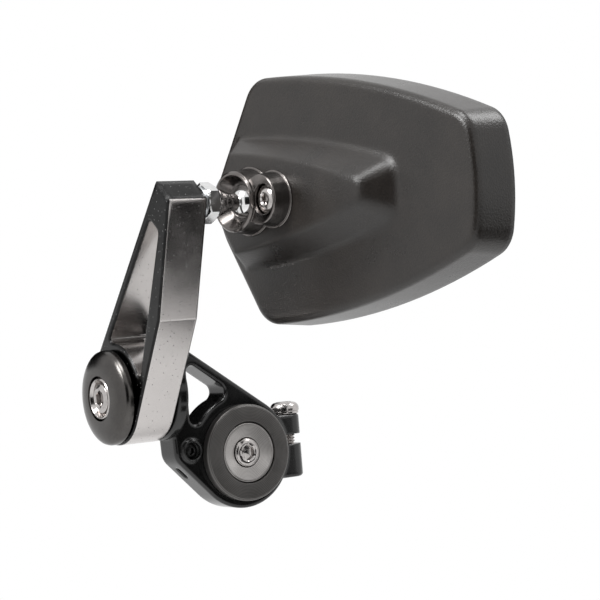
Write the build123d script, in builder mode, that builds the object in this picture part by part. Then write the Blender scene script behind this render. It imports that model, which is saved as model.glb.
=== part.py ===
from build123d import *
import os
from math import acos, asin, atan2, cos, pi, radians, sin, sqrt

# Bar end mirror for a motorcycle handlebar, in millimetres.
# +X points out of the bar's end, -Y forwards and +Z up.
# The origin is on the bar's axis, where the adapter's barrel meets the bar's end.

# Fits and clearances
running_clearance = 0.05
thread_clearance = 0.05
bolt_clearance = 0.25
side_gap = 0.1
seam_gap = 0.3

# Bar end adapter and its expander
flange_radius = 17.0
flange_thickness = 3.6
flange_edge = 0.8
barrel_radius = 14.0
barrel_overhang = 0.5
dish_radius = 10.6
dish_thickness = 5.2
dish_recess = 0.4
dish_floor = 1.8
dish_fall = 1.3
dish_rim = 1.0
bush_radius = 7.2
bush_length = 14.0
nut_length = 6.0
nut_taper = 0.8

# Clamp bracket
ring_length = 11.0
ring_radius = 19.6
ring_edge = 1.2
slit_width = 3.6
slit_height = 2.5
ear_width = 9.8
ear_top = 11.6
ear_bottom = -11.2
ear_edge = 1.2
pinch_gap = 1.1
knuckle_out = 4.4
knuckle_rise = 15.0
knuckle_radius = 5.0
lobe_out = 1.6
lobe_z = 2.7
lobe_radius = 6.4
collar_height = 1.2
collar_edge = 0.7
window_edge = 3.4
window_ring_gap = 1.0
window_foot_width = 3.7
window_round = 2.2
window_tip_round = 3.2
window_lip = 0.9
web_root = 6.5
relief_length = 5.6
relief_width = 2.6
relief_depth = 2.0
relief_along = 4.5

# Pivot between bracket and arm
pivot_rise = 4.1
pivot_gap = 11.6
boss_radius = 16.5
boss_thickness = 4.0
boss_edge = 0.8
boss_flare_foot = 5.4
boss_flare_waist = 8.6
boss_flare_middle = 2.4
friction_thickness = 0.8
friction_radius = 13.0
spacer_radius = 6.0
cap_radius = 16.2
cap_rim = 1.6
cap_dome = 3.4
cap_crown = 12.6
dome_fullness = 0.66
cup_radius = 7.4
cup_depth = 3.9
cup_slope = 0.8

# Arm
arm_length = 73.5
arm_lean = 32.5
arm_thickness = 15.0
arm_end_radius = 16.5
tip_half_width = 4.9
tip_overhang = 5.8
knee_along = 37.0
knee_across = 9.8
knee_round = 60.0
knee_span = 4.0
arm_edge = 0.5
frame_wall = 3.0
frame_top = 7.0
frame_top_width = 7.2
frame_foot_gap = 2.0
frame_foot_across = 11.0
frame_round = 1.6

# Screws: thread radius, head radius, head height and key across its flats
m6_radius = 3.0
m6_head = 5.0
m6_low_height = 3.0
m6_key = 5.0
m6_crown = 0.5
m5_radius = 2.5
m5_head = 4.75
m5_height = 2.75
m5_key = 3.0
key_depth = 2.2
washer_thickness = 1.0
pinch_head = 5.25
pinch_height = 3.3
pinch_crown = 2.4
pinch_key = 4.0
m5_crown = 0.6
set_screw_key = 2.5
set_screw_length = 6.0
set_screw_sink = 1.8
set_screw_bore = 3.1

# Ball stud
stud_thread_length = 11.0
lock_washer_thickness = 1.4
lock_washer_radius = 5.6
hex_flats = 12.0
hex_length = 4.4
hex_edge = 0.6
neck_radius = 2.9
neck_root = 5.0
neck_straight = 6.6
ball_radius = 6.5
ball_reach = 20.7

# Head, placed at the ball
head_yaw = 7.0
head_roll = -2.0
seat_wall = 1.45
pad_wall = 0.95
bowl_drop = 2.8
plateau_drop = 0.45
cup_base_radius = 11.2
cup_top_radius = 10.1
cup_height = 8.0
mouth_radius = 5.7
flare_radius = 9.0
cup_edge = 0.5
clamp_screw_offset = 14.2
clamp_boss_offset = 11.8
clamp_boss_radius = 9.2
clamp_boss_height = 6.6
clamp_boss_draft = 9.0
clamp_boss_edge = 0.5
clamp_foot_height = 0.6
clamp_foot_width = 0.45
clamp_foot_edge = 0.3
clamp_floor = 3.3
insert_radius = 3.5
insert_length = 8.0

# Mirror housing, measured from the ball along and across the head
vertex_along = -34.0
vertex_round = 26.0
corner_along = -7.6
corner_half = 41.8
corner_round = 11.0
end_along = 92.0
end_half = 19.5
end_round = 9.0
side_crown = 5.2
end_crown = 2.4
housing_depth = 15.8
housing_draft = 5.0
back_round = 2.6
wedge_height = 9.0
wedge_foot_inset = 5.0
wedge_foot_start = 22.6
wedge_foot_middle = 19.4
wedge_foot_end = 8.6
wedge_foot_reach = 61.0
wedge_foot_round = 5.0
wedge_top_inset = 13.0
wedge_top_start = 16.6
wedge_top_middle = 12.6
wedge_top_end = 3.4
wedge_top_reach = 52.4
wedge_top_round = 1.6
wedge_middle_along = 18.0
wedge_nose_round = 18.0
wedge_edge = 1.4
wedge_blend = 2.4
housing_floor = 3.0
lip_wall = 2.0
ledge_width = 4.0
glass_clearance = 0.3
glass_sink = 0.4
glass_middle_thickness = 3.4
glass_curve_radius = 1200.0
glass_pad_thickness = 1.0

# Places worked out from the sizes above
barrel_back = 0.0
ring_back = barrel_back + barrel_overhang
ring_front = ring_back + ring_length
ring_middle = (ring_back + ring_front) / 2
flange_back = ring_front + side_gap
flange_front = flange_back + flange_thickness
dish_front = flange_front - dish_recess
dish_back = dish_front - dish_thickness
bush_back = barrel_back - bush_length
nut_back = bush_back - nut_length
dish_seat = dish_back + dish_floor
knuckle_y = -ring_radius - knuckle_out
knuckle_z = ring_radius + knuckle_rise
lobe_y = -ring_radius - lobe_out
pivot_z = ring_radius + pivot_rise
pivot_face = -ring_radius - pivot_gap
boss_back = pivot_face + boss_thickness
arm_back = pivot_face - friction_thickness
arm_front = arm_back - arm_thickness
cap_back = arm_front - friction_thickness
cap_front = cap_back - cap_rim - cap_dome
stud_drop = arm_end_radius - tip_half_width
stud_along = sqrt(arm_length**2 - stud_drop**2)
edge_lean = radians(arm_lean) + asin(stud_drop / arm_length)
stud_x = ring_middle + arm_length * sin(radians(arm_lean))
stud_z = pivot_z + arm_length * cos(radians(arm_lean))
ball_y = arm_back + ball_reach
yaw = radians(head_yaw)
roll = radians(head_roll)
seat_inner = ball_radius + running_clearance
seat_outer = seat_inner + seat_wall
pad_inner = seat_outer + running_clearance
pad_outer = pad_inner + pad_wall
pocket_radius = pad_outer + running_clearance
back_drop = plateau_drop + wedge_height
rim_drop = back_drop + housing_depth
slit_bottom = slit_height - slit_width / 2
pinch_reach = sqrt(ring_radius**2 - ear_top**2) + pinch_head + pinch_gap
ear_reach = pinch_reach + ear_width / 2
lobe_distance = sqrt(lobe_y**2 + lobe_z**2)
collar_radius = lobe_distance - flange_radius - seam_gap
side_angle = atan2(lobe_z, lobe_y) + acos((ring_radius - lobe_radius) / lobe_distance)
relief_y = lobe_y + lobe_radius * cos(side_angle) - relief_along * sin(side_angle)
relief_z = lobe_z + lobe_radius * sin(side_angle) + relief_along * cos(side_angle)
window_left = boss_back + web_root
window_ring = ring_radius + window_ring_gap
top_edge_angle = atan2(knuckle_z, knuckle_y) - acos(
    (ring_radius - knuckle_radius) / sqrt(knuckle_y**2 + knuckle_z**2)
)
window_tip_angle = top_edge_angle + acos((ring_radius - window_edge) / window_ring)
window_foot = sqrt(window_ring**2 - (window_left + window_foot_width) ** 2)
window_foot_angle = pi - asin(window_foot / window_ring)
window_top = (ring_radius - window_edge - window_left * cos(top_edge_angle)) / sin(top_edge_angle)

# Planes: bar axis, pivot axis, arm edge, stud axis and head
head = Plane(
    origin=(stud_x, ball_y, stud_z),
    x_dir=(cos(yaw) * cos(roll), sin(yaw) * cos(roll), sin(roll)),
    z_dir=(sin(yaw), -cos(yaw), 0),
)
plateau = head.offset(-plateau_drop)
housing_back = head.offset(-back_drop)
housing_rim = head.offset(-rim_drop)
along_head = Axis(head.origin, head.z_dir)
stud_seat = Plane(origin=(stud_x, arm_back, stud_z), x_dir=(1, 0, 0), z_dir=(0, 1, 0))


def bar_plane(x):
    """Plane across the bar's axis at x, with its normal out of the bar."""
    return Plane.YZ.offset(x)


def pivot_plane(y):
    """Plane across the pivot's axis at y, with its normal forwards."""
    return Plane(origin=(ring_middle, y, pivot_z), x_dir=(1, 0, 0), z_dir=(0, -1, 0))


def arm_plane(y):
    """Plane of the arm at y, its x along the arm's straight edge."""
    along = (sin(edge_lean), 0, cos(edge_lean))
    return Plane(origin=(ring_middle, y, pivot_z), x_dir=along, z_dir=(0, -1, 0))


def turn(seat, profile, mode=Mode.ADD):
    """Turn a closed outline of (height, radius) points about the seat plane's normal."""
    section = Plane(origin=seat.origin, x_dir=seat.z_dir, z_dir=seat.x_dir)
    with BuildSketch(section) as outline:
        with BuildLine():
            Polyline(*profile, close=True)
        make_face()
    revolve(outline.sketch, axis=Axis(seat.origin, seat.z_dir), mode=mode)


def cut_key(top, across_flats, depth):
    """Sink a hexagon socket into a screw's head."""
    with BuildSketch(top) as socket:
        RegularPolygon(across_flats / 2, 6, major_radius=False)
    extrude(socket.sketch, amount=-depth, mode=Mode.SUBTRACT)


def socket_screw(seat, thread, reach, head_radius, head_height, key, crown):
    """Turn a screw with a rounded head on its seat plane and sink its socket."""
    section = Plane(origin=seat.origin, x_dir=seat.z_dir, z_dir=seat.x_dir)
    with BuildSketch(section) as outline:
        with BuildLine():
            Polyline(
                (head_height, head_radius - crown),
                (head_height, 0),
                (-reach, 0),
                (-reach, thread),
                (0, thread),
                (0, head_radius),
                (head_height - crown, head_radius),
            )
            CenterArc((head_height - crown, head_radius - crown), crown, 0, 90)
        make_face()
    revolve(outline.sketch, axis=Axis(seat.origin, seat.z_dir))
    cut_key(seat.offset(head_height), key, key_depth)


def plain_washer(seat, outer, inner, thickness):
    """Stand a flat washer on its seat plane."""
    with BuildSketch(seat) as ring:
        Circle(outer)
        Circle(inner, mode=Mode.SUBTRACT)
    extrude(ring.sketch, amount=thickness)


def corners(sketch, along, across):
    """Corners of a sketch nearest to a point and to its mirror image."""
    return [sketch.vertices().sort_by_distance((along, side))[0] for side in (across, -across)]


def head_outline(plane, growth):
    """Shield outline of the head on a plane, grown or shrunk all round."""
    with BuildSketch(plane) as shield:
        with BuildLine():
            Polyline((corner_along, -corner_half), (vertex_along, 0), (corner_along, corner_half))
            SagittaArc((corner_along, corner_half), (end_along, end_half), side_crown)
            SagittaArc((end_along, end_half), (end_along, -end_half), end_crown)
            SagittaArc((end_along, -end_half), (corner_along, -corner_half), side_crown)
        make_face()
        fillet(shield.vertices().sort_by(Axis.X)[0], vertex_round)
        fillet(corners(shield, corner_along, corner_half), corner_round)
        fillet(corners(shield, end_along, end_half), end_round)
        offset(amount=growth)
    return shield.sketch


def wedge_outline(plane, inset, start, middle, end, reach, corner):
    """Tapering outline of the wedge on a plane, its nose parallel to the head's nose."""
    nose = vertex_along + inset
    shoulder = nose + start * (corner_along - vertex_along) / corner_half
    with BuildSketch(plane) as taper:
        with BuildLine():
            Polyline((shoulder, -start), (nose, 0), (shoulder, start))
            ThreePointArc((shoulder, start), (wedge_middle_along, middle), (reach, end))
            Line((reach, end), (reach, -end))
            ThreePointArc((reach, -end), (wedge_middle_along, -middle), (shoulder, -start))
        make_face()
        fillet(taper.vertices().sort_by(Axis.X)[0], wedge_nose_round)
        fillet(corners(taper, reach, end), corner)
    return taper.sketch


# Bar end adapter: flange, barrel and the recess for the dished washer
with BuildPart() as bar_end_adapter:
    turn(
        bar_plane(0),
        [
            (barrel_back, m6_radius + bolt_clearance),
            (barrel_back, barrel_radius),
            (flange_back, barrel_radius),
            (flange_back, flange_radius),
            (flange_front - flange_edge, flange_radius),
            (flange_front, flange_radius - flange_edge),
            (flange_front, dish_radius + bolt_clearance),
            (dish_back, dish_radius + bolt_clearance),
            (dish_back, m6_radius + bolt_clearance),
        ],
    )

# Dished washer: turned cone that takes the expander screw's head
with BuildPart() as dished_washer:
    turn(
        bar_plane(0),
        [
            (dish_back, m6_radius + bolt_clearance),
            (dish_back, dish_radius),
            (dish_front - dish_recess, dish_radius),
            (dish_front, dish_radius - dish_recess),
            (dish_front, dish_radius - dish_rim),
            (dish_front - dish_fall, m6_head + bolt_clearance),
            (dish_seat, m6_head + bolt_clearance),
            (dish_seat, m6_radius + bolt_clearance),
        ],
    )

# Expander screw, from the dished washer to the end of the nut
with BuildPart() as expander_screw:
    socket_screw(
        bar_plane(dish_seat),
        m6_radius,
        dish_seat - nut_back,
        m6_head,
        m6_low_height,
        m6_key,
        m6_crown,
    )

# Expander bush: rubber sleeve that swells in the bar's bore
with BuildPart() as expander_bush:
    turn(
        bar_plane(0),
        [
            (bush_back, m6_radius + bolt_clearance),
            (bush_back, bush_radius),
            (barrel_back, bush_radius),
            (barrel_back, m6_radius + bolt_clearance),
        ],
    )

# Expander nut: tapered end that the screw draws into the bush
with BuildPart() as expander_nut:
    turn(
        bar_plane(0),
        [
            (nut_back, m6_radius + thread_clearance),
            (nut_back, bush_radius - nut_taper),
            (bush_back, bush_radius),
            (bush_back, m6_radius + thread_clearance),
        ],
    )


def ring_point(angle):
    """Point of the window's round side, concentric with the clamp ring."""
    return (window_ring * cos(angle), window_ring * sin(angle))


# Pinch ears of the clamp bracket, before the slit parts them
with BuildPart() as ears:
    with BuildSketch(Plane.XY.offset(ear_bottom)):
        with Locations((ring_middle, pinch_reach / 2)):
            Rectangle(ear_width, pinch_reach)
        with Locations((ring_middle, pinch_reach)):
            Circle(ear_width / 2)
    extrude(amount=ear_top - ear_bottom)
    fillet(ears.faces().filter_by(Axis.Z).edges(), ear_edge)

# Flare of the clamp bracket from its web to its pivot boss
flare_section = Plane(origin=(ring_middle, boss_back, pivot_z), x_dir=(0, 1, 0), z_dir=(1, 0, 0))
with BuildPart() as boss_flare:
    with BuildSketch(flare_section):
        with BuildLine():
            Polyline((web_root, boss_flare_foot), (web_root, 0), (0, 0), (0, boss_radius - boss_edge))
            ThreePointArc(
                (0, boss_radius - boss_edge),
                (boss_flare_middle, boss_flare_waist),
                (web_root, boss_flare_foot),
            )
        make_face()
    revolve(axis=Axis((ring_middle, 0, pivot_z), (0, 1, 0)))

# Clamp bracket: ring, web, lobe, pivot boss and pinch ears in one casting
relief_seat = Plane(
    origin=(ring_middle, relief_y, relief_z),
    x_dir=(0, -sin(side_angle), cos(side_angle)),
    z_dir=(0, cos(side_angle), sin(side_angle)),
)
with BuildPart() as clamp_bracket:
    with BuildSketch(bar_plane(ring_back)):
        Circle(ring_radius)
        with Locations((knuckle_y, knuckle_z)):
            Circle(knuckle_radius)
        with Locations((lobe_y, lobe_z)):
            Circle(lobe_radius)
        make_hull()
    extrude(amount=ring_length)
    fillet(clamp_bracket.faces().filter_by(Axis.X).edges(), ring_edge)
    with BuildSketch(bar_plane(ring_front)) as window:
        with BuildLine():
            ThreePointArc(
                ring_point(window_tip_angle),
                ring_point((window_tip_angle + window_foot_angle) / 2),
                ring_point(window_foot_angle),
            )
            Polyline(
                ring_point(window_foot_angle),
                (window_left, window_foot),
                (window_left, window_top),
                ring_point(window_tip_angle),
            )
        make_face()
        tip = window.vertices().sort_by_distance(ring_point(window_tip_angle))[0]
        fillet(window.vertices().filter_by(lambda corner: corner != tip), window_round)
        tip = window.vertices().sort_by_distance(ring_point(window_tip_angle))[0]
        fillet(tip, window_tip_round)
    extrude(amount=-ring_length, mode=Mode.SUBTRACT)
    fillet(clamp_bracket.faces().filter_by(Axis.X).sort_by(Axis.X)[-1].inner_wires()[0].edges(), window_lip)
    with BuildSketch(pivot_plane(boss_back)):
        Circle(boss_radius)
    extrude(amount=boss_thickness)
    chamfer(clamp_bracket.faces().sort_by(Axis.Y)[0].edges(), boss_edge)
    add(boss_flare.part)
    add(ears.part)
    with BuildSketch(bar_plane(ring_front)):
        with Locations((lobe_y, lobe_z)):
            Circle(collar_radius)
    extrude(amount=collar_height)
    fillet(clamp_bracket.faces().filter_by(Axis.X).sort_by(Axis.X)[-1].edges(), collar_edge)
    with BuildSketch(bar_plane(ring_front)):
        Circle(barrel_radius + running_clearance)
    extrude(amount=-ring_length, mode=Mode.SUBTRACT)
    with BuildSketch(bar_plane(ring_front)):
        with Locations((ear_reach / 2, slit_height)):
            Rectangle(ear_reach, slit_width)
    extrude(amount=-ring_length, mode=Mode.SUBTRACT)
    with Locations((ring_middle, pinch_reach, ear_top)):
        Hole(m6_radius + bolt_clearance, ear_top - slit_bottom)
    with Locations((ring_middle, pinch_reach, slit_bottom)):
        Hole(m6_radius + thread_clearance, slit_bottom - ear_bottom)
    with Locations(bar_plane(ring_front + collar_height).shift_origin(
            (ring_front + collar_height, lobe_y, lobe_z))):
        CounterBoreHole(
            m5_radius + thread_clearance,
            set_screw_bore,
            set_screw_sink,
            set_screw_sink + set_screw_length,
        )
    with Locations(pivot_plane(pivot_face)):
        Hole(m6_radius + thread_clearance, boss_thickness + web_root)
    with BuildSketch(relief_seat):
        SlotOverall(relief_length, relief_width)
    extrude(amount=-relief_depth, mode=Mode.SUBTRACT)

# Pinch screw and its washer, on top of the upper ear
pinch_seat = Plane.XY.offset(ear_top).shift_origin((ring_middle, pinch_reach, ear_top))
with BuildPart() as pinch_washer:
    plain_washer(pinch_seat, pinch_head - bolt_clearance, m6_radius + bolt_clearance, washer_thickness)
with BuildPart() as pinch_screw:
    socket_screw(
        pinch_seat.offset(washer_thickness),
        m6_radius,
        washer_thickness + ear_top - ear_bottom,
        pinch_head,
        pinch_height,
        pinch_key,
        pinch_crown,
    )

# Set screw in the bracket's lobe
set_screw_front = ring_front + collar_height - set_screw_sink
set_screw_seat = bar_plane(set_screw_front).shift_origin((set_screw_front, lobe_y, lobe_z))
with BuildPart() as bracket_set_screw:
    with BuildSketch(set_screw_seat):
        Circle(m5_radius)
    extrude(amount=-set_screw_length)
    cut_key(set_screw_seat, set_screw_key, key_depth)

# Pivot: spacer, friction washers, domed cap, cup washer and screw
spacer_bore = m6_radius + bolt_clearance
friction_bore = spacer_radius + running_clearance
with BuildPart() as pivot_spacer:
    plain_washer(pivot_plane(pivot_face), spacer_radius, spacer_bore, pivot_face - cap_back)
with BuildPart() as inner_friction_washer:
    plain_washer(pivot_plane(pivot_face), friction_radius, friction_bore, friction_thickness)
with BuildPart() as outer_friction_washer:
    plain_washer(pivot_plane(arm_front), friction_radius, friction_bore, friction_thickness)
cup_floor = cap_front + cup_depth
cap_section = Plane(origin=(ring_middle, cap_back, pivot_z), x_dir=(0, -1, 0), z_dir=(1, 0, 0))
with BuildPart() as pivot_cap:
    with BuildSketch(cap_section):
        with BuildLine():
            Polyline(
                (cap_rim + cap_dome - cup_depth, spacer_bore),
                (0, spacer_bore),
                (0, cap_radius),
                (cap_rim, cap_radius),
            )
            ThreePointArc(
                (cap_rim, cap_radius),
                (cap_rim + cap_dome * dome_fullness, cap_crown),
                (cap_rim + cap_dome, cup_radius + seam_gap),
            )
            Polyline(
                (cap_rim + cap_dome, cup_radius + seam_gap),
                (cap_rim + cap_dome - cup_depth, cup_radius + seam_gap),
                (cap_rim + cap_dome - cup_depth, spacer_bore),
            )
        make_face()
    revolve(axis=Axis((ring_middle, 0, pivot_z), (0, -1, 0)))
with BuildPart() as pivot_cup_washer:
    turn(
        pivot_plane(cup_floor),
        [
            (0, spacer_bore),
            (0, cup_radius),
            (cup_depth - cup_slope, cup_radius),
            (cup_depth, cup_radius - cup_slope),
            (cup_slope, m6_head + bolt_clearance),
            (cup_slope, spacer_bore),
        ],
    )
with BuildPart() as pivot_screw:
    socket_screw(
        pivot_plane(cup_floor - cup_slope),
        m6_radius,
        boss_back + web_root - thread_clearance - cup_floor + cup_slope,
        m6_head,
        m6_low_height,
        m6_key,
        m6_crown,
    )

# Arm: straight edge, kneed edge, round foot and tapering window
window_reach = arm_end_radius + frame_foot_gap
window_side = arm_end_radius - frame_wall
foot_near = sqrt(window_reach**2 - frame_foot_across**2)
foot_far = sqrt(window_reach**2 - window_side**2)
knee_sagitta = knee_round - sqrt(knee_round**2 - knee_span**2)
with BuildPart() as arm:
    with BuildSketch(arm_plane(arm_back)):
        Circle(arm_end_radius)
        with Locations((stud_along, stud_drop)):
            Rectangle(tip_overhang * 2, tip_half_width * 2)
        with BuildLine():
            SagittaArc(
                (knee_along - knee_span, knee_sagitta - knee_across),
                (knee_along + knee_span, knee_sagitta - knee_across),
                -knee_sagitta,
            )
            Line(
                (knee_along - knee_span, knee_sagitta - knee_across),
                (knee_along + knee_span, knee_sagitta - knee_across),
            )
        make_face()
        make_hull()
    extrude(amount=arm_thickness)
    with BuildSketch(arm_plane(arm_back)) as frame:
        with BuildLine():
            Polyline(
                (foot_far, window_side),
                (stud_along - frame_top, window_side),
                (stud_along - frame_top, window_side - frame_top_width),
                (foot_near, -frame_foot_across),
            )
            ThreePointArc(
                (foot_near, -frame_foot_across),
                (window_reach, 0),
                (foot_far, window_side),
            )
        make_face()
        fillet(frame.vertices(), frame_round)
    extrude(amount=arm_thickness, mode=Mode.SUBTRACT)
    chamfer(arm.faces().filter_by(Axis.Y).edges(), arm_edge)
    with Locations(pivot_plane(arm_front)):
        Hole(spacer_radius + running_clearance, arm_thickness)
    with Locations(stud_seat):
        Hole(m6_radius + thread_clearance, stud_thread_length)

# Ball stud: thread, hexagon, tapering neck and ball made from one bar
hex_end = lock_washer_thickness + hex_length
with BuildPart() as ball_stud:
    with BuildSketch(stud_seat.offset(lock_washer_thickness)):
        RegularPolygon(hex_flats / 2, 6, major_radius=False)
    extrude(amount=hex_length)
    chamfer(ball_stud.faces().filter_by(Axis.Y).edges(), hex_edge)
    turn(
        stud_seat,
        [
            (-stud_thread_length + thread_clearance, 0),
            (-stud_thread_length + thread_clearance, m6_radius),
            (lock_washer_thickness, m6_radius),
            (hex_end, neck_root),
            (ball_reach - neck_straight, neck_radius),
            (ball_reach, neck_radius),
            (ball_reach, 0),
        ],
    )
    with Locations(stud_seat.offset(ball_reach)):
        Sphere(ball_radius)
with BuildPart() as stud_lock_washer:
    plain_washer(stud_seat, lock_washer_radius, m6_radius + bolt_clearance, lock_washer_thickness)


def bowl(inner, outer):
    """Round bowl behind the ball, cut off below the ball's middle."""
    with Locations(head):
        Sphere(outer)
        Sphere(inner, mode=Mode.SUBTRACT)
    split(bisect_by=head.offset(-bowl_drop), keep=Keep.BOTTOM)


# Ball seat, and the elastic pad that loads it
with BuildPart() as ball_seat:
    bowl(seat_inner, seat_outer)
with BuildPart() as seat_pad:
    bowl(pad_inner, pad_outer)

# Ball clamp: cup with a flared mouth, a boss for the clamp screw and a thin foot round both
clamp_axis = Plane(plateau.location * Location((clamp_screw_offset, 0, 0)))
mouth_height = sqrt(seat_inner**2 - mouth_radius**2)
cup_top = cup_height - plateau_drop
with BuildPart() as clamp_boss:
    with BuildSketch(plateau):
        with Locations((clamp_boss_offset, 0)):
            Circle(clamp_boss_radius)
    extrude(amount=clamp_boss_height, taper=clamp_boss_draft)
    fillet(clamp_boss.edges().group_by(along_head)[-1], clamp_boss_edge)
with BuildPart() as clamp_foot:
    with BuildSketch(plateau):
        Circle(cup_base_radius + clamp_foot_width)
        with Locations((clamp_boss_offset, 0)):
            Circle(clamp_boss_radius + clamp_foot_width)
    extrude(amount=clamp_foot_height)
    fillet(clamp_foot.edges().group_by(along_head)[-1], clamp_foot_edge)
with BuildPart() as ball_clamp:
    turn(plateau, [(0, 0), (0, cup_base_radius), (cup_height, cup_top_radius), (cup_height, 0)])
    chamfer(ball_clamp.edges().group_by(along_head)[-1], cup_edge)
    add(clamp_boss.part)
    add(clamp_foot.part)
    with Locations(head):
        Sphere(seat_inner, mode=Mode.SUBTRACT)
    turn(
        head,
        [
            (mouth_height, 0),
            (mouth_height, mouth_radius),
            (cup_top, flare_radius),
            (cup_top, 0),
        ],
        mode=Mode.SUBTRACT,
    )
    with Locations(clamp_axis.offset(cup_height)):
        CounterBoreHole(
            m5_radius + bolt_clearance,
            m5_head + bolt_clearance,
            cup_height - clamp_floor,
            cup_height,
        )

# Clamp screw and the threaded insert that it enters
with BuildPart() as clamp_screw:
    socket_screw(
        clamp_axis.offset(clamp_floor),
        m5_radius,
        clamp_floor + insert_length - thread_clearance,
        m5_head,
        m5_height,
        m5_key,
        m5_crown,
    )
with BuildPart() as clamp_insert:
    plain_washer(
        clamp_axis.offset(-insert_length), insert_radius, m5_radius + thread_clearance, insert_length
    )

# Mirror housing: drafted shell, raised wedge, ball pocket, insert hole and glass recess
with BuildPart() as wedge:
    loft(
        [
            wedge_outline(
                housing_back,
                wedge_foot_inset,
                wedge_foot_start,
                wedge_foot_middle,
                wedge_foot_end,
                wedge_foot_reach,
                wedge_foot_round,
            ),
            wedge_outline(
                plateau,
                wedge_top_inset,
                wedge_top_start,
                wedge_top_middle,
                wedge_top_end,
                wedge_top_reach,
                wedge_top_round,
            ),
        ],
        ruled=True,
    )
    fillet(wedge.faces().sort_by(along_head)[-1].edges(), wedge_edge)
with BuildPart() as mirror_housing:
    extrude(head_outline(housing_back, 0), amount=-housing_depth, taper=-housing_draft)
    fillet(mirror_housing.faces().sort_by(along_head)[-1].edges(), back_round)
    add(wedge.part)
    flat_faces = mirror_housing.faces().filter_by(housing_back).sort_by(along_head)
    fillet(flat_faces[1].inner_wires()[0].edges(), wedge_blend)
    with Locations(head):
        Sphere(pocket_radius, mode=Mode.SUBTRACT)
    with Locations(clamp_axis):
        Hole(insert_radius, insert_length)
    extrude(
        head_outline(housing_rim, -lip_wall),
        amount=glass_sink + glass_middle_thickness + glass_pad_thickness,
        mode=Mode.SUBTRACT,
    )
    extrude(
        head_outline(housing_rim, -lip_wall - ledge_width),
        amount=housing_depth - housing_floor,
        mode=Mode.SUBTRACT,
    )

# Convex glass and the pad behind it
glass_back = housing_rim.offset(glass_sink + glass_middle_thickness)
glass_outline_growth = -lip_wall - glass_clearance
glass_centre = (vertex_along + end_along) / 2
with BuildPart() as mirror_glass:
    extrude(head_outline(glass_back, glass_outline_growth), amount=-glass_middle_thickness)
    with Locations(
        housing_rim.offset(glass_sink + glass_curve_radius) * Location((glass_centre, 0, 0))
    ):
        Sphere(glass_curve_radius, mode=Mode.INTERSECT)
with BuildPart() as glass_pad:
    extrude(head_outline(glass_back, glass_outline_growth), amount=glass_pad_thickness)

# Write one file for each piece
pieces = {
    "bar_end_adapter": bar_end_adapter,
    "dished_washer": dished_washer,
    "expander_screw": expander_screw,
    "expander_bush": expander_bush,
    "expander_nut": expander_nut,
    "clamp_bracket": clamp_bracket,
    "pinch_screw": pinch_screw,
    "pinch_washer": pinch_washer,
    "bracket_set_screw": bracket_set_screw,
    "pivot_spacer": pivot_spacer,
    "inner_friction_washer": inner_friction_washer,
    "outer_friction_washer": outer_friction_washer,
    "pivot_cap": pivot_cap,
    "pivot_cup_washer": pivot_cup_washer,
    "pivot_screw": pivot_screw,
    "arm": arm,
    "ball_stud": ball_stud,
    "stud_lock_washer": stud_lock_washer,
    "ball_seat": ball_seat,
    "seat_pad": seat_pad,
    "ball_clamp": ball_clamp,
    "clamp_screw": clamp_screw,
    "clamp_insert": clamp_insert,
    "mirror_housing": mirror_housing,
    "glass_pad": glass_pad,
    "mirror_glass": mirror_glass,
}
os.makedirs("parts", exist_ok=True)
for label, piece in pieces.items():
    piece.part.label = label
    export_step(piece.part, f"parts/{label}.step")
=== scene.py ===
"""Looks of a motorcycle bar end mirror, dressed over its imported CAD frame.

Everything stands in metres in the CAD frame: +X out of the bar's end, -Y forwards, +Z up.
Sizes are given in millimetres, as on a drawing, and scaled once when points are made.
"""
import logging
import math
from dataclasses import dataclass, field
from enum import Enum
from typing import Any, Mapping, Sequence, Union

import bpy
import numpy as np
from mathutils import Matrix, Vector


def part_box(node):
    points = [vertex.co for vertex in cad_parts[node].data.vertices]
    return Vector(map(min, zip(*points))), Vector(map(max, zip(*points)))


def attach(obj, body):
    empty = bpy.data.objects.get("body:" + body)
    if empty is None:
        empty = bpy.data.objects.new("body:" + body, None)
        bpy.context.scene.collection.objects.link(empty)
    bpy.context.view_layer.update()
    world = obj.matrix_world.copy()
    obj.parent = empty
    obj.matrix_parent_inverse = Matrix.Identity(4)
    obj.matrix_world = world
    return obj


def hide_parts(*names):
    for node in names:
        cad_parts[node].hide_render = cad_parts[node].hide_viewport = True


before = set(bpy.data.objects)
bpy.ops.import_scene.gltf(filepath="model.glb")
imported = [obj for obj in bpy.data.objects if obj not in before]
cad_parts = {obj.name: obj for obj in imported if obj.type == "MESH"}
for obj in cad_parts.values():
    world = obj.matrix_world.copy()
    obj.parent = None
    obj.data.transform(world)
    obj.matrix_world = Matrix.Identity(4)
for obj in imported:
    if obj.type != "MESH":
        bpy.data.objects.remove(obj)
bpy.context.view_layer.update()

Array = np.ndarray
Triple = tuple[float, float, float]
Socket = bpy.types.NodeSocket
Tree = bpy.types.NodeTree
MM = 0.001
FULL_TURN = 2.0 * math.pi
WHITE = "#ffffff"
# Layers of finer noise in the close grain and in the broad blotches.
GRAIN_LAYERS, BLOTCH_LAYERS = 3.0, 4.0
# Middle of the range of the blotches, and of blotches and close pattern added up.
BLOTCH_RANGE, SUM_RANGE = (0.3, 0.7), (0.7, 1.3)
# Blender's wave texture runs through 20 radians in one unit of its scale.
WAVE_RADIANS = 20.0
RING_WANDER = 0.5
EDGE_SAMPLES = 8
# Radii of the two threads and of the common screw head, in millimetres.
M5, M6, M6_HEAD = 2.5, 3.0, 5.0
# Points round a large turned piece and round a screw, and on an eased corner.
FINE_AROUND, SCREW_AROUND, CURVE_STEPS = 240, 96, 5
# Largest share of a side that an eased corner takes.
SIDE_SHARE = 0.45
# Angle between faces from which an edge stays crisp.
CREASE_DEG = 32.0
log = logging.getLogger("bar_end_mirror")


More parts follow.
